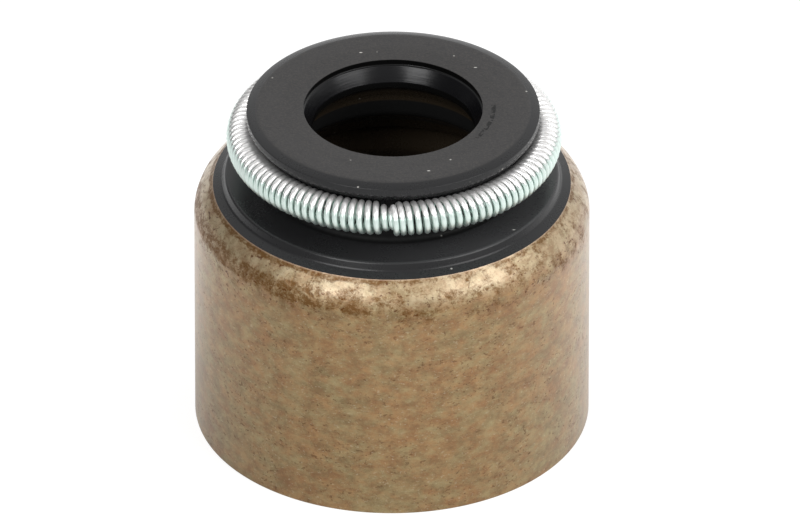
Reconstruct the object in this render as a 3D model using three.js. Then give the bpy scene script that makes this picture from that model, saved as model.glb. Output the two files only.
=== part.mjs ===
// Valve stem seal: a drawn steel can, the rubber body bonded into it, and the garter spring
// that presses the sealing lip on the valve stem. Millimetres, +Z up. The seal's axis is the
// Z axis and the can stands on z = 0 with its open end down. Profiles are (radius, height)
// pairs that run anticlockwise, so turning them makes solids that face outwards.
import * as THREE from "three";

const FULL_TURN = 2 * Math.PI;

// Sizes from the axis outwards: the lip suits the valve stem, and the spring ring suits the lip
const LIP_RADIUS = 2.875;
const LIP_LAND = 0.2; // height of the narrow band that rubs on the stem
const LIP_FLARE_WIDTH = 0.575; // underside of the lip, from the land out to the waist's bore
const LIP_FLARE_HEIGHT = 0.73;
const LIP_BODY = 1.785; // rubber between the lip and the floor of the spring's groove
const LEAD_CONE_WIDTH = 0.275; // cone that leads down to the lip
const LEAD_CONE_HEIGHT = 0.554;
const BORE_STEP = 0.014; // the head's bore is this much wider than the cone's mouth
const BORE_HEIGHT = 0.236; // from the cone's mouth to the head's top
const UNDERCUT = 0.05; // shallow recess between the head's bore and the cone

// Garter spring
const COIL_DIAMETER = 1.24;
const WIRE_DIAMETER = 0.24;
const COIL_GAP = 0.008; // between neighbouring coils on the inside of the ring
const SPRING_CLEARANCE = 0.04; // between the coils and the groove
const JOINT_AZIMUTH = -1.3; // degrees from the front, where the reduced end enters the other end
const NIB_COILS = 2.8; // coils before the joint over which the end is reduced
const NIB_NECK_COILS = 2; // coils before the joint where it has come down to its neck
const NIB_FOOT_COILS = 0.4; // coils before the joint where the neck ends
const NIB_NECK_STEP = 0.31; // the neck's diameter is this much under the coils'
const NIB_FOOT_STEP = 0.42;
const NIB_CLEARANCE = 0.07; // round the tip, inside the other end
const NIB_HIDDEN_COILS = 2.6;

// Rubber waist and groove
const WAIST_STEP = 0.21; // the waist is this much slimmer than the groove's floor
const WAIST_WALL = 0.75; // at its foot
const WAIST_FILLET = 0.14;
const WAIST_LENGTH = 0.44; // straight part, above the fillet
const WAIST_BORE_RISE = 0.075; // from the collar's face up to where the waist's bore opens out
const SPRING_RISE = 1.485; // from the collar's face up to the coils' centres
const GROOVE_LOWER_ANGLE = 235; // degrees round the coil's section, from outwards through up
const GROOVE_UPPER_ANGLE = 118;

// Rubber head above the spring
const HEAD_SETBACK = 0.133; // the head's side lies this far inside the coils' centre ring
const HEAD_GAP = 0.207; // from the top of the coils up to the head's lower edge
const HEAD_SIDE = 0.273; // upright side
const HEAD_CHAMFER_WIDTH = 0.455;
const HEAD_CHAMFER_HEIGHT = 0.11;

// Rubber socket that grips the valve guide, lining the can
const SOCKET_RADIUS = 5.5;
const LINING_WALL = 1.0;
const LINING_SETBACK = 0.4; // the lining ends this far above the can's cut edge
const LEAD_IN_WIDTH = 0.4;
const LEAD_IN_HEIGHT = 0.6;
const STOP_PAD = 0.35; // rubber under the can's flange, where the guide's top stops
const STOP_WIDTH = 0.55;
const STOP_CORNER = 0.2; // bevel in the corner between the stop and the socket's wall
const STOP_CHAMFER_WIDTH = 0.33; // from the stop's inner edge in to the chamber
const STOP_CHAMFER_HEIGHT = 0.43;
const RIB_COUNT = 3;
const RIB_PROUD = 0.15;
const RIB_HALF_HEIGHT = 0.5;
const TOP_RIB_DROP = 1.25; // from the stop down to the top rib's crest
const BOTTOM_RIB_RISE = 1.45; // from the lead-in up to the bottom rib's crest

// Steel can
const CAN_SHEET = 0.5;
const CAN_WALL_HEIGHT = 8.3; // straight wall, from the cut edge to the start of the shoulder
const SHOULDER_RADIUS = 1.15; // outside of the bend
const SHOULDER_TURN = THREE.MathUtils.degToRad(44.5); // then it goes on as a cone
const SHOULDER_WIDTH = 0.665; // from the wall in to the edge where the steel goes under rubber
const FLANGE_COVER = 0.53; // rubber over the free edge of the hidden inner flange

// Rubber collar on the can's flange, round the waist
const LAND_WIDTH = 0.315; // narrow land beside the can's mouth
const LAND_RISE = 0.14; // its inner edge stands this far above the can's mouth
const CREASE_WIDTH = 0.045; // shallow crease between the land and the step
const CREASE_DEPTH = 0.02;
const STEP_WIDTH = 0.16; // from the land's edge in to the collar's face
const COLLAR_RISE = 0.428; // from the can's mouth up to the collar's face
const COLLAR_EDGE = 0.04;
const COLLAR_DIP = 0.03; // the face sags by this much halfway in

// How finely round shapes are divided
const TURNED_SIDES = 48;
const SHOULDER_STEPS = 4;
const GROOVE_STEPS = 6;
const STEPS_PER_COIL = 8;
const WIRE_SIDES = 4;

// Radii that follow, outwards from the lip and from the guide's socket
const GROOVE_FLOOR_RADIUS = LIP_RADIUS + LIP_BODY;
const SPRING_RADIUS = GROOVE_FLOOR_RADIUS + SPRING_CLEARANCE + COIL_DIAMETER / 2;
const WAIST_RADIUS = GROOVE_FLOOR_RADIUS - WAIST_STEP;
const HEAD_RADIUS = SPRING_RADIUS - HEAD_SETBACK;
const CAN_RADIUS = SOCKET_RADIUS + LINING_WALL + CAN_SHEET;
const MOUTH_RADIUS = CAN_RADIUS - SHOULDER_WIDTH;
const LAND_RADIUS = MOUTH_RADIUS - LAND_WIDTH;
const COLLAR_RADIUS = LAND_RADIUS - STEP_WIDTH;
const STOP_EDGE_RADIUS = SOCKET_RADIUS - STOP_WIDTH;
const CHAMBER_RADIUS = STOP_EDGE_RADIUS - STOP_CHAMFER_WIDTH;
const FLANGE_EDGE_RADIUS = CHAMBER_RADIUS + FLANGE_COVER;

// Heights that follow, upwards from the can's cut edge
const SHOULDER_END_RADIUS = CAN_RADIUS - SHOULDER_RADIUS * (1 - Math.cos(SHOULDER_TURN));
const SHOULDER_END_HEIGHT = CAN_WALL_HEIGHT + SHOULDER_RADIUS * Math.sin(SHOULDER_TURN);
const MOUTH_HEIGHT = SHOULDER_END_HEIGHT + (SHOULDER_END_RADIUS - MOUTH_RADIUS) / Math.tan(SHOULDER_TURN);
const FLANGE_UNDERSIDE = MOUTH_HEIGHT - CAN_SHEET;
const STOP_HEIGHT = FLANGE_UNDERSIDE - STOP_PAD;
const COLLAR_HEIGHT = MOUTH_HEIGHT + COLLAR_RISE;
const SPRING_HEIGHT = COLLAR_HEIGHT + SPRING_RISE;
const HEAD_FOOT_HEIGHT = SPRING_HEIGHT + COIL_DIAMETER / 2 + HEAD_GAP;
const HEAD_HEIGHT = HEAD_FOOT_HEIGHT + HEAD_SIDE + HEAD_CHAMFER_HEIGHT;
const CONE_MOUTH_HEIGHT = HEAD_HEIGHT - BORE_HEIGHT;
const LIP_HEIGHT = CONE_MOUTH_HEIGHT - LEAD_CONE_HEIGHT;

// Points of an arc about a centre, in a profile's plane, with both of its ends
function arc(centreRadius, centreHeight, radius, from, to, steps) {
  return Array.from({ length: steps + 1 }, (_, i) => {
    const angle = THREE.MathUtils.lerp(from, to, i / steps);
    return [centreRadius + radius * Math.cos(angle), centreHeight + radius * Math.sin(angle)];
  });
}

// Solid of revolution from a profile, turned about the Z axis and closed on itself
function turned(profile) {
  const outline = [...profile, profile[0]].map(([radius, height]) => new THREE.Vector2(radius, height));
  const geometry = new THREE.LatheGeometry(outline, TURNED_SIDES);
  return geometry.rotateX(Math.PI / 2);
}

// The can's bend, at a given depth inside its outer surface
function shoulderArc(depth) {
  const centreRadius = CAN_RADIUS - SHOULDER_RADIUS;
  return arc(centreRadius, CAN_WALL_HEIGHT, SHOULDER_RADIUS - depth, 0, SHOULDER_TURN, SHOULDER_STEPS);
}

// Surface of the can that the rubber is bonded to, from a start height on the inner wall, up
// round the bend, under the flange, round its free edge and back over it to the mouth
function bondedSurface(startHeight) {
  const bend = shoulderArc(CAN_SHEET);
  const [bendRadius, bendHeight] = bend.at(-1);
  const coneRun = (FLANGE_UNDERSIDE - bendHeight) * Math.tan(SHOULDER_TURN);
  return [
    [CAN_RADIUS - CAN_SHEET, startHeight],
    ...bend,
    [bendRadius - coneRun, FLANGE_UNDERSIDE],
    [FLANGE_EDGE_RADIUS, FLANGE_UNDERSIDE],
    [FLANGE_EDGE_RADIUS, MOUTH_HEIGHT],
    [MOUTH_RADIUS, MOUTH_HEIGHT],
  ];
}

function metalCase() {
  const outside = [[CAN_RADIUS, 0], ...shoulderArc(0)];
  const inside = bondedSurface(0).reverse();
  return turned([...outside, ...inside]);
}

// Collar from the can's mouth in to the waist: land, crease, leaning step, sagging face, fillet
function collarProfile() {
  const landHeight = MOUTH_HEIGHT + LAND_RISE;
  return [
    [LAND_RADIUS, landHeight],
    [LAND_RADIUS - CREASE_WIDTH, landHeight - CREASE_DEPTH],
    [COLLAR_RADIUS + COLLAR_EDGE, COLLAR_HEIGHT - COLLAR_EDGE],
    [COLLAR_RADIUS, COLLAR_HEIGHT],
    [(COLLAR_RADIUS + WAIST_RADIUS) / 2, COLLAR_HEIGHT - COLLAR_DIP],
    [WAIST_RADIUS + WAIST_FILLET, COLLAR_HEIGHT],
    [WAIST_RADIUS, COLLAR_HEIGHT + WAIST_FILLET],
    [WAIST_RADIUS, COLLAR_HEIGHT + WAIST_FILLET + WAIST_LENGTH],
  ];
}

// Groove that the spring lies in, from its lower edge up to the head
function grooveProfile() {
  const radius = COIL_DIAMETER / 2 + SPRING_CLEARANCE;
  const from = THREE.MathUtils.degToRad(GROOVE_LOWER_ANGLE);
  const to = THREE.MathUtils.degToRad(GROOVE_UPPER_ANGLE);
  return arc(SPRING_RADIUS, SPRING_HEIGHT, radius, from, to, GROOVE_STEPS);
}

// Head from its lower edge over the top and down its bore to the lip
function headProfile() {
  const coneRadius = LIP_RADIUS + LEAD_CONE_WIDTH;
  const boreRadius = coneRadius + BORE_STEP;
  return [
    [HEAD_RADIUS, HEAD_FOOT_HEIGHT],
    [HEAD_RADIUS, HEAD_FOOT_HEIGHT + HEAD_SIDE],
    [HEAD_RADIUS - HEAD_CHAMFER_WIDTH, HEAD_HEIGHT],
    [boreRadius, HEAD_HEIGHT],
    [boreRadius + UNDERCUT, CONE_MOUTH_HEIGHT + UNDERCUT],
    [coneRadius, CONE_MOUTH_HEIGHT],
    [LIP_RADIUS, LIP_HEIGHT],
  ];
}

// Chamber below the lip: the lip's land and underside, the waist's bore, the stop for the guide
function chamberProfile() {
  const landFoot = LIP_HEIGHT - LIP_LAND;
  return [
    [LIP_RADIUS, landFoot],
    [LIP_RADIUS + LIP_FLARE_WIDTH, landFoot - LIP_FLARE_HEIGHT],
    [WAIST_RADIUS - WAIST_WALL, COLLAR_HEIGHT + WAIST_BORE_RISE],
    [CHAMBER_RADIUS, STOP_HEIGHT + STOP_CHAMFER_HEIGHT],
    [STOP_EDGE_RADIUS, STOP_HEIGHT],
    [SOCKET_RADIUS - STOP_CORNER, STOP_HEIGHT],
    [SOCKET_RADIUS, STOP_HEIGHT - STOP_CORNER],
  ];
}

// Socket for the valve guide, from the stop down to the lead-in: shallow ribs on a plain wall
function socketProfile() {
  const leadInTop = LINING_SETBACK + LEAD_IN_HEIGHT;
  const topRib = STOP_HEIGHT - TOP_RIB_DROP;
  const bottomRib = leadInTop + BOTTOM_RIB_RISE;
  const ribs = Array.from({ length: RIB_COUNT }, (_, i) => {
    const height = THREE.MathUtils.lerp(topRib, bottomRib, i / (RIB_COUNT - 1));
    return [
      [SOCKET_RADIUS, height + RIB_HALF_HEIGHT],
      [SOCKET_RADIUS - RIB_PROUD, height],
      [SOCKET_RADIUS, height - RIB_HALF_HEIGHT],
    ];
  });
  return [...ribs.flat(), [SOCKET_RADIUS, leadInTop], [SOCKET_RADIUS + LEAD_IN_WIDTH, LINING_SETBACK]];
}

function rubberBody() {
  return turned([
    ...bondedSurface(LINING_SETBACK),
    ...collarProfile(),
    ...grooveProfile(),
    ...headProfile(),
    ...chamberProfile(),
    ...socketProfile(),
  ]);
}

// Centre line of the spring's wire: a helix bent round to a ring, which starts at the joint
// and ends inside its own start with a reduced end. As many coils go round the ring as fit
// side by side on its inside.
class GarterWire extends THREE.Curve {
  constructor() {
    super();
    const coilRadius = (COIL_DIAMETER - WIRE_DIAMETER) / 2;
    const innerLength = FULL_TURN * (SPRING_RADIUS - coilRadius);
    this.coils = Math.floor(innerLength / (WIRE_DIAMETER + COIL_GAP));
    this.turns = this.coils + NIB_HIDDEN_COILS;
  }

  // Radius of the wire's centre line about the ring, at a number of turns from the start
  coilRadius(turn) {
    const stations = [
      [NIB_COILS, COIL_DIAMETER],
      [NIB_NECK_COILS, COIL_DIAMETER - NIB_NECK_STEP],
      [NIB_FOOT_COILS, COIL_DIAMETER - NIB_FOOT_STEP],
      [0, COIL_DIAMETER - 2 * (WIRE_DIAMETER + NIB_CLEARANCE)],
    ];
    const left = THREE.MathUtils.clamp(this.coils - turn, 0, NIB_COILS);
    const next = Math.max(1, stations.findIndex(([coils]) => left >= coils));
    const [farCoils, farDiameter] = stations[next - 1];
    const [nearCoils, nearDiameter] = stations[next];
    const share = (left - nearCoils) / (farCoils - nearCoils);
    return (THREE.MathUtils.lerp(nearDiameter, farDiameter, share) - WIRE_DIAMETER) / 2;
  }

  // Directions at one turn: out from the seal's axis, out from the coil's middle, and back
  // along the ring, against the way that the coils advance
  directions(turn) {
    const azimuth = THREE.MathUtils.degToRad(JOINT_AZIMUTH) + (turn / this.coils) * FULL_TURN;
    const outwards = new THREE.Vector3(Math.sin(azimuth), -Math.cos(azimuth), 0);
    const coilAngle = turn * FULL_TURN;
    const fromCoil = outwards.clone().multiplyScalar(Math.cos(coilAngle));
    fromCoil.z = -Math.sin(coilAngle);
    const back = new THREE.Vector3(-Math.cos(azimuth), -Math.sin(azimuth), 0);
    return { outwards, fromCoil, back };
  }

  getPoint(share, target = new THREE.Vector3()) {
    const turn = share * this.turns;
    const { outwards, fromCoil } = this.directions(turn);
    target.copy(outwards).multiplyScalar(SPRING_RADIUS);
    return target.addScaledVector(fromCoil, this.coilRadius(turn));
  }

  // Even steps in turns, so that neighbouring coils have their corners side by side
  getPointAt(share, target) {
    return this.getPoint(share, target);
  }

  // The wire's section keeps one axis away from the coil's middle and one along the ring
  computeFrenetFrames(segments) {
    const frames = { tangents: [], normals: [], binormals: [] };
    for (let i = 0; i <= segments; i++) {
      const { fromCoil, back } = this.directions((i / segments) * this.turns);
      frames.tangents.push(new THREE.Vector3().crossVectors(fromCoil, back));
      frames.normals.push(fromCoil);
      frames.binormals.push(back);
    }
    return frames;
  }
}

function garterSpring() {
  const corners = Array.from({ length: WIRE_SIDES }, (_, i) => {
    const angle = (i / WIRE_SIDES) * FULL_TURN;
    return new THREE.Vector2(Math.cos(angle), Math.sin(angle)).multiplyScalar(WIRE_DIAMETER / 2);
  });
  const wire = new GarterWire();
  const steps = Math.round(wire.turns * STEPS_PER_COIL);
  return new THREE.ExtrudeGeometry(new THREE.Shape(corners), { steps, extrudePath: wire });
}

function bronzedSteel() {
  return new THREE.MeshStandardMaterial({ color: 0x8f7d63, roughness: 0.45, metalness: 0.8 });
}

function blackRubber() {
  return new THREE.MeshStandardMaterial({ color: 0x2a2a2b, roughness: 0.6, metalness: 0 });
}

function zincPlate() {
  return new THREE.MeshStandardMaterial({ color: 0xd9dddb, roughness: 0.25, metalness: 1 });
}

function mesh(name, geometry, material) {
  const made = new THREE.Mesh(geometry, material);
  made.name = name;
  return made;
}

const seal = new THREE.Group();
seal.add(mesh("metal_case", metalCase(), bronzedSteel()));
seal.add(mesh("rubber_body", rubberBody(), blackRubber()));
const spring = mesh("garter_spring", garterSpring(), zincPlate());
spring.position.z = SPRING_HEIGHT;
seal.add(spring);

export default seal;
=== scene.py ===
"""Looks of a valve stem seal: bronzed steel can, black rubber body and garter spring.

Metres, +Z up, the seal's axis on Z and its cut rim on z = 0. Sizes are written in millimetres
times MM. A profile is a list of (radius, height) pairs.
"""

import math

import bpy
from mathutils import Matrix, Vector


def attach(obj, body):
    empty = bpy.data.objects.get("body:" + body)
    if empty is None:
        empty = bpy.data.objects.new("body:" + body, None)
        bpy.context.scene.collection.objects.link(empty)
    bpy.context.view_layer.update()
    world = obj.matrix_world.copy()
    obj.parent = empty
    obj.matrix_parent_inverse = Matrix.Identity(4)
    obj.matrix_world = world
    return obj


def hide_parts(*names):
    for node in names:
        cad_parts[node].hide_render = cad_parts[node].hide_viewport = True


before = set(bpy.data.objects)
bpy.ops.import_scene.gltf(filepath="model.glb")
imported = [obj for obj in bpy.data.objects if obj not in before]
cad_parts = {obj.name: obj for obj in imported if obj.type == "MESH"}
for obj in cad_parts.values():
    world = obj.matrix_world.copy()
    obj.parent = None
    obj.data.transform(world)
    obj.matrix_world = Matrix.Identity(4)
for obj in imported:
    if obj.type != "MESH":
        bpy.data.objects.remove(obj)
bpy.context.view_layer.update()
scene = bpy.context.scene

# ------------------------------------------------------------------------------------------
# Camera: a long lens from far off, in front of the spring's joint and looking down into the
# head. The photograph shows next to no perspective.
MM = 0.001
VIEW_ELEVATION = math.radians(33.1)
VIEW_DISTANCE = 900 * MM
VIEW_TARGET = Vector((0.288, 0, 5.939)) * MM
LENS = 1142  # millimetres, as Blender gives it

camera = bpy.data.objects.new("camera", bpy.data.cameras.new("camera"))
scene.collection.objects.link(camera)
scene.camera = camera
camera.data.lens = LENS
towards_camera = Vector((0, -math.cos(VIEW_ELEVATION), math.sin(VIEW_ELEVATION)))
camera.location = VIEW_TARGET + VIEW_DISTANCE * towards_camera
camera.rotation_mode = "QUATERNION"
camera.rotation_quaternion = towards_camera.to_track_quat("Z", "Y")

# ------------------------------------------------------------------------------------------
# Can: drawn from 0.5 mm sheet steel, with a rounded shoulder, a flange that goes on under the
# rubber and a lightly rounded cut rim. Its bronze-brown conversion finish is mottled all over,
# with brown patches round the shoulder, which is painted paler as a painted highlight.
CAN_RADIUS = 7.0 * MM
CAN_BORE_RADIUS = 6.5 * MM
SHOULDER_CORNER_HEIGHT = 8.7705 * MM
SHOULDER_BEND = 0.4705 * MM  # from the corner to where its bend begins
INNER_CORNER_HEIGHT = 8.5659 * MM
INNER_BEND = 0.2659 * MM
MOUTH_RADIUS = 6.335 * MM
MOUTH_HEIGHT = 9.4472 * MM
FLANGE_EDGE_RADIUS = 5.15 * MM
FLANGE_UNDERSIDE = 8.9472 * MM
FLANGE_OUTER_RADIUS = 6.126 * MM
RIM_EDGE = 0.05 * MM
TURNED_STEPS = 288
HIGHLIGHT_FROM, HIGHLIGHT_FULL = 8.35 * MM, 8.9 * MM  # heights between which the shoulder's painted highlight sets in
PATCHED = (8.2 * MM, 9.5 * MM, 0.5 * MM)  # band of the brown patches, and its soft width
BEND_PATINA_SHADE = (8.5 * MM, 8.85 * MM, 0.25 * MM)
MOUTH_PATINA_SHADE = (9.26 * MM, 9.36 * MM)
BARE_EDGE = (9.4 * MM, 9.44 * MM)
BRONZE_RELIEF = 0.025 * MM


class Channel:
    """Output socket of a node. Sums, products and powers of channels add their Math nodes."""

    def __init__(self, socket):
        self.socket = socket

    @classmethod
    def node(cls, tree, kind, settings=None, inputs=None, output=0):
        """Adds a node, with its settings first and then the values or links of its sockets."""
        node = tree.nodes.new(kind)
        for name, value in (settings or {}).items():
            setattr(node, name, value)
        for name, value in (inputs or {}).items():
            if isinstance(value, Channel):
                tree.links.new(value.socket, node.inputs[name])
            else:
                node.inputs[name].default_value = value
        return cls(node.outputs[output])

    def maths(self, operation, first, second=0.0):
        tree = self.socket.id_data
        return Channel.node(
            tree, "ShaderNodeMath", {"operation": operation}, {0: first, 1: second}
        )

    def __add__(self, other):
        return self.maths("ADD", self, other)

    def __radd__(self, other):
        return self.maths("ADD", other, self)

    def __sub__(self, other):
        return self.maths("SUBTRACT", self, other)

    def __rsub__(self, other):
        return self.maths("SUBTRACT", other, self)

    def __mul__(self, other):
        return self.maths("MULTIPLY", self, other)

    def __rmul__(self, other):
        return self.maths("MULTIPLY", other, self)

    def __truediv__(self, other):
        return self.maths("DIVIDE", self, other)

    def __pow__(self, other):
        return self.maths("POWER", self, other)

    def step(self, low, high):
        """0 below low, 1 above high and a smooth rise between. It falls where low > high."""
        inputs = {"Value": self, "From Min": low, "From Max": high}
        settings = {"interpolation_type": "SMOOTHSTEP"}
        return Channel.node(self.socket.id_data, "ShaderNodeMapRange", settings, inputs)

    def band(self, low, high, soft):
        """1 between low and high, fading to 0 over a soft width outside both."""
        return self.step(low - soft, low) * self.step(high + soft, high)


class Finish:
    """Procedural material of one surface, with its pattern on the piece's own coordinates."""

    def __init__(self, name):
        self.material = bpy.data.materials.new(name)
        self.material.use_nodes = True
        self.tree = self.material.node_tree
        self.shader = self.tree.nodes["Principled BSDF"]
        self.place = self.add("ShaderNodeTexCoord", output="Object")
        self.x, self.y, self.z = (
            self.add("ShaderNodeSeparateXYZ", inputs={"Vector": self.place}, output=axis)
            for axis in "XYZ"
        )
        self.radius = (self.x**2 + self.y**2) ** 0.5

    def add(self, kind, settings=None, inputs=None, output=0):
        return Channel.node(self.tree, kind, settings, inputs, output)

    def noise(self, size, detail=2.0, roughness=0.5, seed=0.0, stretch=None):
        """Noise around 0.5 with blotches of about the given size, on the whole surface."""
        place = self.place
        if stretch:
            place = self.add(
                "ShaderNodeVectorMath", {"operation": "MULTIPLY"}, {0: place, 1: stretch}
            )
        place = self.add(
            "ShaderNodeVectorMath", {"operation": "ADD"}, {0: place, 1: (seed, seed, seed)}
        )
        scale = {"Scale": 0.5 / size, "Detail": detail, "Roughness": roughness}
        inputs = {"Vector": place, **scale}
        return self.add("ShaderNodeTexNoise", {"normalize": True}, inputs)

    def specks(self, spacing, seed=0.0):
        """Distance to the nearest of many scattered points, in metres."""
        place = self.add(
            "ShaderNodeVectorMath", {"operation": "ADD"}, {0: self.place, 1: (seed, seed, seed)}
        )
        cells = self.add("ShaderNodeTexVoronoi", None, {"Vector": place, "Scale": 1 / spacing})
        return cells * spacing

    def place_distance(self, place, stretch):
        """Distance from a point, measured on coordinates that are stretched about it."""
        inputs = {0: self.place, 1: place}
        away = self.add("ShaderNodeVectorMath", {"operation": "SUBTRACT"}, inputs)
        away = self.add("ShaderNodeVectorMath", {"operation": "MULTIPLY"}, {0: away, 1: stretch})
        return self.add("ShaderNodeVectorMath", {"operation": "LENGTH"}, {0: away}, "Value")

    def blend(self, share, first, second):
        """Colour between two colours, or channels of colour."""
        first, second = (c if isinstance(c, Channel) else (*c, 1) for c in (first, second))
        inputs = {0: share, 6: first, 7: second}
        return self.add("ShaderNodeMix", {"data_type": "RGBA"}, inputs, output=2)

    def bump(self, height, distance, strength=1.0):
        """Feeds the shader's normal with the relief of a height channel."""
        inputs = {"Height": height, "Distance": distance, "Strength": strength}
        self.set(Normal=self.add("ShaderNodeBump", None, inputs))

    def set(self, **sockets):
        """Sets or links the shader's sockets, named with _ for a space."""
        for name, value in sockets.items():
            socket = self.shader.inputs[name.replace("_", " ")]
            if isinstance(value, Channel):
                self.tree.links.new(value.socket, socket)
            else:
                socket.default_value = value

    def dress(self, piece):
        piece.data.materials.clear()
        piece.data.materials.append(self.material)


def srgb(red, green, blue):
    """Linear colour from the eight-bit values that a picture shows."""
    shares = (red / 255, green / 255, blue / 255)
    return tuple(c / 12.92 if c <= 0.04045 else ((c + 0.055) / 1.055) ** 2.4 for c in shares)


def clear_selection():
    if bpy.context.object and bpy.context.object.mode != "OBJECT":
        bpy.ops.object.mode_set(mode="OBJECT")
    bpy.ops.object.select_all(action="DESELECT")


def new_point(name, place):
    """A mesh of one vertex, left in edit mode: the start of a drawn profile."""
    clear_selection()
    bpy.ops.mesh.primitive_plane_add(size=MM, location=(0, 0, 0))
    piece = bpy.context.object
    piece.name = piece.data.name = name
    bpy.ops.object.mode_set(mode="EDIT")
    bpy.ops.mesh.merge(type="CENTER")
    bpy.ops.transform.translate(value=place)
    return piece


def select_vertices(piece, wanted):
    """Selects the vertices whose place fits, and nothing else."""
    bpy.ops.object.mode_set(mode="EDIT")
    bpy.ops.mesh.select_all(action="DESELECT")
    bpy.ops.object.mode_set(mode="OBJECT")
    for vertex in piece.data.vertices:
        vertex.select = wanted(vertex.co)
    bpy.ops.object.mode_set(mode="EDIT")
    bpy.ops.mesh.select_mode(type="VERT")


def turned_piece(name, corners):
    """Draws a closed profile, rounds its corners and turns it about Z to a solid ring.

    A corner is (radius, height), or (radius, height, run, segments) where the bend that rounds
    it begins a run away from it.
    """
    weld, near_corner = 0.001 * MM, 0.002 * MM
    places = [Vector((corner[0], 0, corner[1])) for corner in corners]
    piece = new_point(name, places[0])
    for before, after in zip(places, places[1:] + places[:1]):
        move = {"value": after - before}
        bpy.ops.mesh.extrude_vertices_move(TRANSFORM_OT_translate=move)
    bpy.ops.mesh.select_all(action="SELECT")
    bpy.ops.mesh.remove_doubles(threshold=weld)
    for corner, place in zip(corners, places):
        if len(corner) == 4:
            select_vertices(piece, lambda co: (co - place).length < near_corner)
            bpy.ops.mesh.bevel(offset=corner[2], segments=corner[3], affect="VERTICES")
    bpy.ops.mesh.select_all(action="SELECT")
    bpy.ops.mesh.spin(steps=TURNED_STEPS, angle=math.tau, center=(0, 0, 0), axis=(0, 0, 1))
    bpy.ops.mesh.select_all(action="SELECT")
    bpy.ops.mesh.remove_doubles(threshold=weld / 2)
    bpy.ops.mesh.normals_make_consistent(inside=False)
    bpy.ops.object.mode_set(mode="OBJECT")
    return piece


def smooth(piece, angle):
    """Shades a piece smooth but for its sharp edges, and keeps its flat faces flat."""
    clear_selection()
    piece.select_set(True)
    bpy.context.view_layer.objects.active = piece
    bpy.ops.object.shade_smooth_by_angle(angle=math.radians(angle))
    bpy.ops.object.modifier_add(type="WEIGHTED_NORMAL")
    piece.modifiers[-1].keep_sharp = True
    bpy.ops.object.modifier_apply(modifier=piece.modifiers[-1].name)


can = turned_piece(
    "drawn_can",
    [
        (CAN_RADIUS, 0, RIM_EDGE, 3),
        (CAN_RADIUS, SHOULDER_CORNER_HEIGHT, SHOULDER_BEND, 12),
        (MOUTH_RADIUS, MOUTH_HEIGHT),
        (FLANGE_EDGE_RADIUS, MOUTH_HEIGHT),
        (FLANGE_EDGE_RADIUS, FLANGE_UNDERSIDE),
        (FLANGE_OUTER_RADIUS, FLANGE_UNDERSIDE),
        (CAN_BORE_RADIUS, INNER_CORNER_HEIGHT, INNER_BEND, 6),
        (CAN_BORE_RADIUS, 0, RIM_EDGE, 3),
    ],
)
smooth(can, 40)

bronze = Finish("bronzed_steel")
flat = (1, 1, 1.5)  # the blotches are a little wider than they are high
patches = bronze.noise(0.28 * MM, detail=4.0, roughness=0.6, seed=0.031, stretch=flat)
drift = bronze.noise(1.6 * MM, detail=3.0, roughness=0.6, seed=0.012)
mottle = bronze.noise(0.34 * MM, detail=6.0, roughness=0.76, seed=0.077, stretch=flat)
grain = bronze.noise(0.08 * MM, detail=2.0, roughness=0.6, seed=0.044, stretch=flat)
flecks = bronze.noise(0.06 * MM, detail=2.0, roughness=0.6, seed=0.083, stretch=flat)
crowd = bronze.noise(0.5 * MM, detail=2.0, seed=0.101)
pitting = bronze.noise(0.1 * MM, detail=3.0, roughness=0.7, seed=0.09, stretch=flat)
left = bronze.x.step(2.0 * MM, -4.0 * MM)
shoulder = bronze.z.step(HIGHLIGHT_FROM, HIGHLIGHT_FULL)
shoulder_band = bronze.z.band(*PATCHED)
bend = bronze.z.band(*BEND_PATINA_SHADE)
mouth = bronze.z.step(*MOUTH_PATINA_SHADE)
edge = bronze.z.step(*BARE_EDGE)
patina_and_shade = bronze.noise(0.3 * MM, detail=6.0, roughness=0.8, seed=0.061)
# Partly patina, partly painted shade: more brown at the mouth and the bend, strongest on the left.
patina_and_shade = patina_and_shade + mouth * (0.08 + 0.14 * left) + bend * (0.02 + 0.12 * left)
patina_and_shade = patina_and_shade.step(0.46, 0.66) * shoulder_band * (0.5 + 0.5 * pitting.step(0.36, 0.54))
specks = grain.step(0.58, 0.68) * (0.2 + 0.8 * crowd.step(0.4, 0.6))
hue = (patches + 0.5 * drift).step(0.5, 1.0)
dark_brown, dark_olive = srgb(138, 96, 52), srgb(132, 109, 66)
light_brown, light_olive = srgb(172, 132, 82), srgb(168, 149, 104)
speck_brown, patina_shade_brown, pit_brown = srgb(100, 66, 38), srgb(106, 70, 26), srgb(92, 50, 18)
fleck_buff, highlight_buff, bare_steel = srgb(206, 190, 160), srgb(204, 188, 158), srgb(196, 172, 150)
dark = bronze.blend(hue, dark_brown, dark_olive)
light = bronze.blend(hue, light_brown, light_olive)
# Painted highlight: the shoulder is painted a paler, mottled buff.
shoulder_highlight = shoulder * (0.25 + 0.35 * mottle.step(0.4, 0.6))
colour = bronze.blend(mottle.step(0.32, 0.68), dark, light)
colour = bronze.blend(specks * 0.65, colour, speck_brown)
colour = bronze.blend(flecks.step(0.6, 0.72) * 0.35, colour, fleck_buff)
colour = bronze.blend(shoulder_highlight, colour, highlight_buff)
colour = bronze.blend(patina_and_shade * 0.9, colour, patina_shade_brown)
colour = bronze.blend(specks * shoulder_band * 0.8, colour, pit_brown)
colour = bronze.blend(edge * 0.5, colour, bare_steel)
bronze.set(
    Base_Color=colour,
    Metallic=0.85,
    Roughness=0.44 + 0.16 * mottle - 0.06 * shoulder + 0.08 * patina_and_shade,
    Coat_Weight=1.0 - 0.8 * patina_and_shade - 0.5 * specks,
    Coat_Roughness=0.3,
)
bronze.bump(mottle * 0.9 - pitting * 0.5 - patina_and_shade * 0.3, BRONZE_RELIEF, 0.7)
bronze.dress(can)
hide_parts("metal_case")
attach(can, "root")

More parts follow.
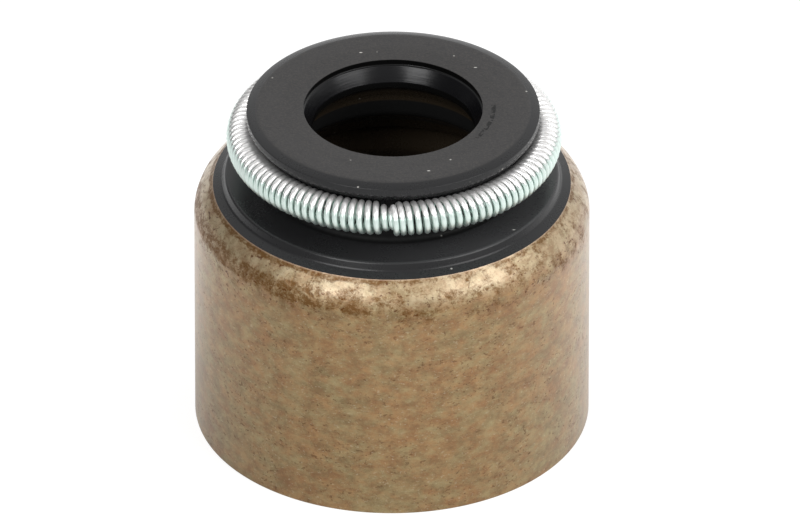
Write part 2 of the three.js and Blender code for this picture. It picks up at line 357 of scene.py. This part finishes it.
# ------------------------------------------------------------------------------------------
# Rubber body: moulded in black rubber and bonded into the can. It has the ribbed socket that
# grips the valve guide, the collar on the can's flange, a thin waist, the groove for the
# spring, and the head with its trimmed sealing lip.
LINING_FOOT = 0.4 * MM
LINING_FOOT_RADIUS = 5.9 * MM
LEAD_IN_HEIGHT = 1.0 * MM
COLLAR_CREASE = (6.005 * MM, 9.5752 * MM)  # where the collar rises from its bead on the can
COLLAR_FACE = 9.8752 * MM
COLLAR_RADIUS = 5.9 * MM
COLLAR_DISH = (5.155 * MM, COLLAR_FACE - 0.03 * MM)
WAIST_RADIUS = 4.45 * MM
WAIST_TOP = 10.4552 * MM
GROOVE_RADIUS = 0.66 * MM
SPRING_RADIUS = 5.32 * MM
SPRING_HEIGHT = 11.3602 * MM
HEAD_TOP = 12.5702 * MM
HEAD_RADIUS = 5.187 * MM
HEAD_RIM_HEIGHTS = (12.1872 * MM, 12.4602 * MM)
CHAMFER_RADIUS = 4.8 * MM
TRIM_RADIUS = 3.164 * MM
UNDERCUT = (3.214 * MM, 12.3342 * MM)
LIP_RADIUS = 2.875 * MM
LIP_HEIGHTS = (11.7802 * MM, 11.5802 * MM)
WAIST_MIDDLE = 10.2 * MM
HEAD_SHIFT = 0.046 * MM
LINT = ((2.96, 2.64, 12.5702), (4.3, -3.75, 9.87), (-1.1, 3.62, 12.5702), (1.3, -4.1, 12.5702))
LINT_STRETCH = (0.4, 1.0, 1.0)  # bits of lint, longer from side to side
CONE_MOUTH_RADIUS = 3.15 * MM
CONE_MOUTH_HEIGHT = 12.2942 * MM
UNDER_LIP = (3.45 * MM, 10.8502 * MM)
CHAMBER_TOP = (3.7 * MM, 9.9502 * MM)
CHAMBER_FOOT = (4.62 * MM, 9.0272 * MM)
SOCKET_RADIUS = 5.5 * MM
STOP_HEIGHT = 8.5972 * MM
STOP_RADII = (4.95 * MM, 5.3 * MM)
STOP_CORNER = 0.2 * MM
RIB_HEIGHTS = (7.3472 * MM, 4.8986 * MM, 2.45 * MM)
RIB_CREST = 0.15 * MM
RIB_HALF = 0.5 * MM
RUBBER_RELIEF = 0.02 * MM


def groove_point(degrees):
    """Point of the groove's round floor, from outwards through up about the spring's wire."""
    angle = math.radians(degrees)
    reach = Vector((math.cos(angle), math.sin(angle))) * GROOVE_RADIUS
    return (SPRING_RADIUS + reach.x, SPRING_HEIGHT + reach.y)


ribs = []
for height in RIB_HEIGHTS:
    ribs += [
        (SOCKET_RADIUS, height + RIB_HALF, 0.15 * MM, 3),
        (SOCKET_RADIUS - RIB_CREST, height, 0.12 * MM, 4),
        (SOCKET_RADIUS, height - RIB_HALF, 0.15 * MM, 3),
    ]

body = turned_piece(
    "moulded_body",
    [
        (CAN_BORE_RADIUS, LINING_FOOT),
        (CAN_BORE_RADIUS, INNER_CORNER_HEIGHT, INNER_BEND, 6),
        (FLANGE_OUTER_RADIUS, FLANGE_UNDERSIDE),
        (FLANGE_EDGE_RADIUS, FLANGE_UNDERSIDE),
        (FLANGE_EDGE_RADIUS, MOUTH_HEIGHT),
        (MOUTH_RADIUS, MOUTH_HEIGHT),
        (*COLLAR_CREASE, 0.06 * MM, 5),
        (COLLAR_RADIUS, COLLAR_FACE, 0.08 * MM, 6),
        (*COLLAR_DISH, 0.35 * MM, 5),
        (WAIST_RADIUS, COLLAR_FACE, 0.14 * MM, 5),
        (WAIST_RADIUS, WAIST_TOP, 0.06 * MM, 3),
        *[groove_point(235 - 117 * i / 14) for i in range(14)],
        (*groove_point(118), 0.05 * MM, 3),
        (HEAD_RADIUS, HEAD_RIM_HEIGHTS[0], 0.03 * MM, 4),
        (HEAD_RADIUS, HEAD_RIM_HEIGHTS[1], 0.02 * MM, 3),
        (CHAMFER_RADIUS, HEAD_TOP, 0.1 * MM, 3),
        (TRIM_RADIUS, HEAD_TOP, 0.02 * MM, 4),
        (*UNDERCUT, 0.015 * MM, 3),
        (CONE_MOUTH_RADIUS, CONE_MOUTH_HEIGHT, 0.015 * MM, 3),
        (LIP_RADIUS, LIP_HEIGHTS[0], 0.02 * MM, 3),
        (LIP_RADIUS, LIP_HEIGHTS[1]),
        (*UNDER_LIP, 0.2 * MM, 4),
        (*CHAMBER_TOP, 0.15 * MM, 4),
        (*CHAMBER_FOOT, 0.1 * MM, 3),
        (STOP_RADII[0], STOP_HEIGHT),
        (STOP_RADII[1], STOP_HEIGHT),
        (SOCKET_RADIUS, STOP_HEIGHT - STOP_CORNER),
        *ribs,
        (SOCKET_RADIUS, LEAD_IN_HEIGHT, 0.15 * MM, 3),
        (LINING_FOOT_RADIUS, LINING_FOOT),
    ],
)

# The head was moulded a little off the can's centre
select_vertices(body, lambda co: co.z > WAIST_MIDDLE)
bpy.ops.transform.translate(value=(HEAD_SHIFT, 0, 0))
smooth(body, 35)

rubber = Finish("black_rubber")
fine = rubber.noise(0.045 * MM, detail=3.0, roughness=0.75, seed=0.011)
coarse = rubber.noise(0.13 * MM, detail=3.0, roughness=0.65, seed=0.035)
cloud = rubber.noise(0.7 * MM, detail=4.0, roughness=0.6, seed=0.052)
turned = rubber.noise(0.3 * MM, detail=3.0, roughness=0.7, seed=0.027, stretch=(0.4, 0.4, 9))
dust = rubber.specks(0.9 * MM, seed=0.02).step(0.05 * MM, 0.02 * MM)
dust = dust * rubber.noise(0.7 * MM, seed=0.06).step(0.46, 0.52)
lint = sum(
    rubber.place_distance(Vector(place) * MM, LINT_STRETCH).step(0.032 * MM, 0.01 * MM)
    for place in LINT
)
trimmed = rubber.z.step(12.54 * MM, 12.565 * MM)
outer = rubber.radius.step(3.9 * MM, 4.1 * MM) * rubber.z.step(9.2 * MM, 9.4 * MM)
cone = rubber.radius.step(3.3 * MM, 3.25 * MM) * rubber.z.band(11.8 * MM, 12.3 * MM, 0.02 * MM)
scar = rubber.radius.band(3.53 * MM, 3.65 * MM, 0.03 * MM) * rubber.x.step(2 * MM, 3 * MM)
scar = scar * rubber.y.band(-1.9 * MM, 0.1 * MM, 0.2 * MM) * trimmed * coarse.step(0.44, 0.52)
shaded_waist = rubber.radius.step(4.75 * MM, 4.6 * MM) * rubber.z.band(9.8 * MM, 10.6 * MM, 0.1 * MM)
collar_light = rubber.z.band(9.83 * MM, 9.88 * MM, 0.02 * MM) * rubber.x.step(-4 * MM, 5 * MM)
deep = rubber.z.step(11.6 * MM, 11.2 * MM)
# Painted shade: inside the bore, the lip's cone too, the rubber is painted near black; lower down
# in the chamber it is browner.
shaded_inside = rubber.blend(deep, srgb(12, 12, 12), srgb(52, 44, 34))
colour = rubber.blend(outer, shaded_inside, srgb(36, 36, 37))
colour = rubber.blend(cone, colour, srgb(14, 14, 16))
# Painted light: the collar face is painted paler, more so towards the right.
colour = rubber.blend(collar_light, colour, srgb(59, 59, 60))
# Painted shade: the waist under the spring is painted darker.
colour = rubber.blend(shaded_waist, colour, srgb(20, 20, 20))
colour = rubber.blend(trimmed * (0.6 + 0.4 * cloud), colour, srgb(60, 59, 59))
colour = rubber.blend(fine.step(0.42, 0.7) * trimmed * 0.4, colour, srgb(84, 80, 76))
colour = rubber.blend(coarse.step(0.5, 0.7) * trimmed * 0.35, colour, srgb(40, 40, 42))
colour = rubber.blend(scar * 0.9, colour, srgb(12, 12, 12))
colour = rubber.blend(dust * 0.7, colour, srgb(190, 188, 182))
colour = rubber.blend(lint, colour, srgb(214, 212, 206))
roughness = 0.2 + 0.3 * trimmed + 0.1 * cloud + 0.06 * fine - 0.04 * cone + 0.4 * shaded_waist
rubber.set(Base_Color=colour, Metallic=0.0, Roughness=roughness, Specular_IOR_Level=0.3)
relief = fine * (0.12 + 0.9 * trimmed) + cloud * 0.2 + turned * cone * 0.5 - scar
rubber.bump(relief, RUBBER_RELIEF, 0.6)
rubber.dress(body)
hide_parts("rubber_body")
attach(body, "root")

# ------------------------------------------------------------------------------------------
# Garter spring: one zinc-plated wire wound to a close coil and bent round to a ring. Its
# reduced end is screwed into its other end, where the first coils lie side by side. The plate
# is hazy; a greener underside and a thin grey line round the coil tops are painted reflections.
WIRE_RADIUS = 0.113 * MM
COIL_RADIUS = 0.5 * MM
WIRE_SIDES = 8
COIL_STEPS = 24
RING_COILS = 118
RING_START = math.radians(5.77)  # azimuth from the front towards +X
RING_END = math.radians(-6.15)
RING_TURN = (math.tau + RING_END - RING_START) / RING_COILS
FIRST_COILS = (0.242 * MM, 0.267 * MM)  # their pitches, from the wire's end to the ring
FIRST_LEAD = 6  # steps wound before the first full coil
NIB_COILS = ((0.284, 0.35), (0.242, 0.2975), (0.242, 0.25), (0.242, 0.2))  # pitch, radius
MANDREL = Vector((0, -SPRING_RADIUS, SPRING_HEIGHT))
SPRING_SHIFT = 0.078 * MM  # the spring lies off centre with the head
REFLECTION_FULL_BELOW, REFLECTION_GONE_ABOVE = 0.25 * MM, 0.4 * MM  # heights above the middle of the wire's coil, below which the painted green reflection is full and above which it is gone
REFLECTED_GREY_LINE = (SPRING_HEIGHT + 0.32 * MM, SPRING_HEIGHT + 0.34 * MM, 0.03 * MM)
ZINC_RELIEF = 0.004 * MM
WELD = 0.001 * MM


def turn_selected(angle, axis, centre):
    """Turns what is selected by the right-hand rule about an axis through a point."""
    bpy.ops.transform.rotate(value=-angle, orient_axis=axis, center_override=centre)


def wire_start(name, lead=0):
    """A round section of the wire on the mandrel, some steps before the coil's outside."""
    clear_selection()
    place = MANDREL - Vector((0, COIL_RADIUS, 0))
    bpy.ops.mesh.primitive_circle_add(vertices=WIRE_SIDES, radius=WIRE_RADIUS, location=place)
    section = bpy.context.object
    section.name = section.data.name = name
    bpy.ops.object.transform_apply(location=True, rotation=True, scale=True)
    bpy.ops.object.mode_set(mode="EDIT")
    bpy.ops.mesh.select_all(action="SELECT")
    turn_selected(-lead * math.tau / COIL_STEPS, "X", MANDREL)
    return section


def wind(steps, bend=0.0, pitch=0.0, narrowing=0.0, lead=0):
    """Winds the wire on at the mandrel, while what is already wound moves off to the left.

    A coil moves off round the ring's axis by the angle bend, and straight on by the pitch.
    """
    for i in range(steps):
        bpy.ops.mesh.extrude_region()
        turn_selected(math.tau / COIL_STEPS, "X", MANDREL)
        angle = (i + 1 - lead) * math.tau / COIL_STEPS
        outwards = Vector((0, -math.cos(angle), -math.sin(angle)))
        bpy.ops.transform.translate(value=outwards * -narrowing / COIL_STEPS)
        bpy.ops.mesh.select_all(action="INVERT")
        turn_selected(-bend / COIL_STEPS, "Z", (0, 0, 0))
        bpy.ops.transform.translate(value=(-pitch / COIL_STEPS, 0, 0))
        bpy.ops.mesh.select_all(action="INVERT")


def move_wire(piece, along, azimuth):
    """Moves a whole wire along the ring's tangent and then round the ring's axis."""
    bpy.ops.mesh.select_all(action="SELECT")
    bpy.ops.transform.translate(value=(along, 0, 0))
    turn_selected(azimuth, "Z", (0, 0, 0))
    bpy.ops.object.mode_set(mode="OBJECT")


# One coil of the ring, copied round it
ring = wire_start("garter_wire")
wind(COIL_STEPS, bend=RING_TURN)
move_wire(ring, 0, RING_START + RING_TURN)
clear_selection()
bpy.ops.object.empty_add(location=(0, 0, 0))
turntable = bpy.context.object
turntable.rotation_euler = (0, 0, RING_TURN)
clear_selection()
ring.select_set(True)
bpy.context.view_layer.objects.active = ring
bpy.ops.object.modifier_add(type="ARRAY")
array = ring.modifiers[-1]
array.count = RING_COILS
array.use_relative_offset = False
array.use_object_offset = True
array.offset_object = turntable
array.use_merge_vertices = True
array.merge_threshold = WELD
bpy.ops.object.modifier_apply(modifier=array.name)
bpy.data.objects.remove(turntable)

# The first coils, which the end inside them keeps straight and close together
tight = wire_start("first_coils", FIRST_LEAD)
wind(FIRST_LEAD, pitch=FIRST_COILS[0], lead=FIRST_LEAD)
for pitch in FIRST_COILS:
    wind(COIL_STEPS, pitch=pitch)
move_wire(tight, 0, RING_START)

# The reduced end, wound on from the ring's last coil into the first coils
nib = wire_start("reduced_end")
before, wound = COIL_RADIUS / MM, 0
for pitch, radius in NIB_COILS:
    wind(COIL_STEPS, pitch=pitch * MM, narrowing=(before - radius) * MM)
    before, wound = radius, wound + pitch * MM
move_wire(nib, wound, RING_END)

clear_selection()
for piece in (tight, nib, ring):
    piece.select_set(True)
bpy.context.view_layer.objects.active = ring
bpy.ops.object.join()
spring = bpy.context.object
bpy.ops.object.mode_set(mode="EDIT")
bpy.ops.mesh.select_all(action="SELECT")
bpy.ops.mesh.remove_doubles(threshold=4 * WELD)
bpy.ops.transform.translate(value=(SPRING_SHIFT, 0, 0))
bpy.ops.mesh.select_all(action="DESELECT")
bpy.ops.mesh.select_non_manifold(extend=False, use_wire=False, use_multi_face=False)
bpy.ops.mesh.edge_face_add()
bpy.ops.mesh.select_all(action="SELECT")
bpy.ops.mesh.normals_make_consistent(inside=False)
bpy.ops.object.mode_set(mode="OBJECT")
clear_selection()
spring.select_set(True)
bpy.context.view_layer.objects.active = spring
bpy.ops.object.shade_smooth_by_angle(angle=math.radians(60))

zinc = Finish("zinc_plate")
haze = zinc.noise(0.5 * MM, detail=3.0, seed=0.017)
green_reflection = zinc.z.step(SPRING_HEIGHT + REFLECTION_GONE_ABOVE, SPRING_HEIGHT + REFLECTION_FULL_BELOW)
bright_zinc, reflected_green = srgb(250, 249, 248), srgb(228, 243, 237)
# Painted reflection: the coils are greener below the middle of the wire's coil.
colour = zinc.blend(green_reflection, bright_zinc, reflected_green)
colour = zinc.blend(haze.step(0.5, 0.75) * 0.25, colour, srgb(206, 210, 206))
# Painted reflection: a thin grey line round the tops of the coils.
colour = zinc.blend(zinc.z.band(*REFLECTED_GREY_LINE) * 0.4, colour, srgb(150, 156, 154))
zinc.set(Base_Color=colour, Metallic=0.8, Roughness=0.3 + 0.08 * haze)
zinc.bump(zinc.noise(0.06 * MM, detail=2.0, seed=0.03), ZINC_RELIEF, 0.1)
zinc.dress(spring)
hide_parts("garter_spring")
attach(spring, "root")

# ------------------------------------------------------------------------------------------
# Floor: a plain white table top. It glows white to the eye and in the seal's reflections,
# less so near the seal, in front of it and on its left, and not at all inside the seal.
FLOOR_SIZE = 3.0
FLOOR_GREY = 0.32
FLOOR_GLOW = 0.78

clear_selection()
bpy.ops.mesh.primitive_plane_add(size=FLOOR_SIZE, location=(0, 0, 0))
floor = bpy.context.object
floor.name = floor.data.name = "table_top"
bpy.ops.object.mode_set(mode="EDIT")
bpy.ops.mesh.subdivide(number_cuts=3)
bpy.ops.object.mode_set(mode="OBJECT")
table = Finish("white_table")
table.set(Base_Color=(*[FLOOR_GREY] * 3, 1), Roughness=1.0, Specular_IOR_Level=0.0)
seen = table.add("ShaderNodeLightPath", output="Is Camera Ray")
through = table.add("ShaderNodeLightPath", output="Is Transmission Ray")
mirrored = table.add("ShaderNodeLightPath", output="Is Glossy Ray")
open_floor = table.radius.step(6.4 * MM, CAN_RADIUS)  # it is dark inside the seal
front = table.y.step(4 * MM, -12 * MM)
across = table.x / table.radius
rear = (table.y / table.radius).step(0.1, 0.8)
left = across.step(0.25, -0.7) * (1 - rear)
near = table.radius.step(20 * MM, CAN_RADIUS)
mirrored = mirrored * (1.0 - 0.3 * front) * (1 - 0.35 * left) * (1 - 0.35 * near)
glow = ((seen + through) * FLOOR_GLOW + mirrored) * open_floor
glow = table.blend(glow, (0, 0, 0), (1, 1, 1))
table.set(Emission_Color=glow, Emission_Strength=1.0)
table.dress(floor)

# ------------------------------------------------------------------------------------------
# Studio light: two large soft boxes on the camera's side, left and right of it, and a pale
# room that is brightest behind the seal and dark low down on its left.
LIGHT_DISTANCE = 0.6


def soft_box(name, azimuth, elevation, width, height, strength):
    """Lamp that faces the seal. Azimuth is from the front (-Y) towards +X, in degrees."""
    light = bpy.data.lights.new(name, "AREA")
    light.shape = "RECTANGLE"
    light.size = width
    light.size_y = height
    light.energy = strength
    lamp = bpy.data.objects.new(name, light)
    scene.collection.objects.link(lamp)
    side, up = math.radians(azimuth), math.radians(elevation)
    direction = Vector(
        (math.sin(side) * math.cos(up), -math.cos(side) * math.cos(up), math.sin(up))
    )
    lamp.location = direction * LIGHT_DISTANCE
    lamp.rotation_euler = direction.to_track_quat("Z", "Y").to_euler()


soft_box("left_box", -32, 37, 0.28, 0.38, 2.0)
soft_box("right_box", 57, 37, 0.4, 0.4, 1.9)

room = bpy.data.worlds.new("pale_room")
scene.world = room
room.use_nodes = True
tree = room.node_tree
seen = Channel.node(tree, "ShaderNodeLightPath", output="Is Camera Ray")
through = Channel.node(tree, "ShaderNodeLightPath", output="Is Transmission Ray")
view = Channel.node(tree, "ShaderNodeTexCoord", output="Generated")
side, depth, height = (
    Channel.node(tree, "ShaderNodeSeparateXYZ", None, {"Vector": view}, axis) for axis in "XYZ"
)
rear = depth.step(-0.35, 0.55)
overhead = height.step(0.62, 0.9)
dark_side = side.step(-0.3, -0.7) * height.step(0.85, 0.45)
backdrop = seen + through  # these rays see plain white
lit = (0.45 + 0.5 * rear) * (1 - 0.2 * overhead) * (1 - 0.8 * dark_side)
shades = {0: backdrop + (1 - backdrop) * lit, 6: (0, 0, 0, 1), 7: (1, 1, 1, 1)}
grey = Channel.node(tree, "ShaderNodeMix", {"data_type": "RGBA"}, shades, 2)
tree.links.new(grey.socket, tree.nodes["Background"].inputs["Color"])

scene.view_settings.view_transform = "Standard"
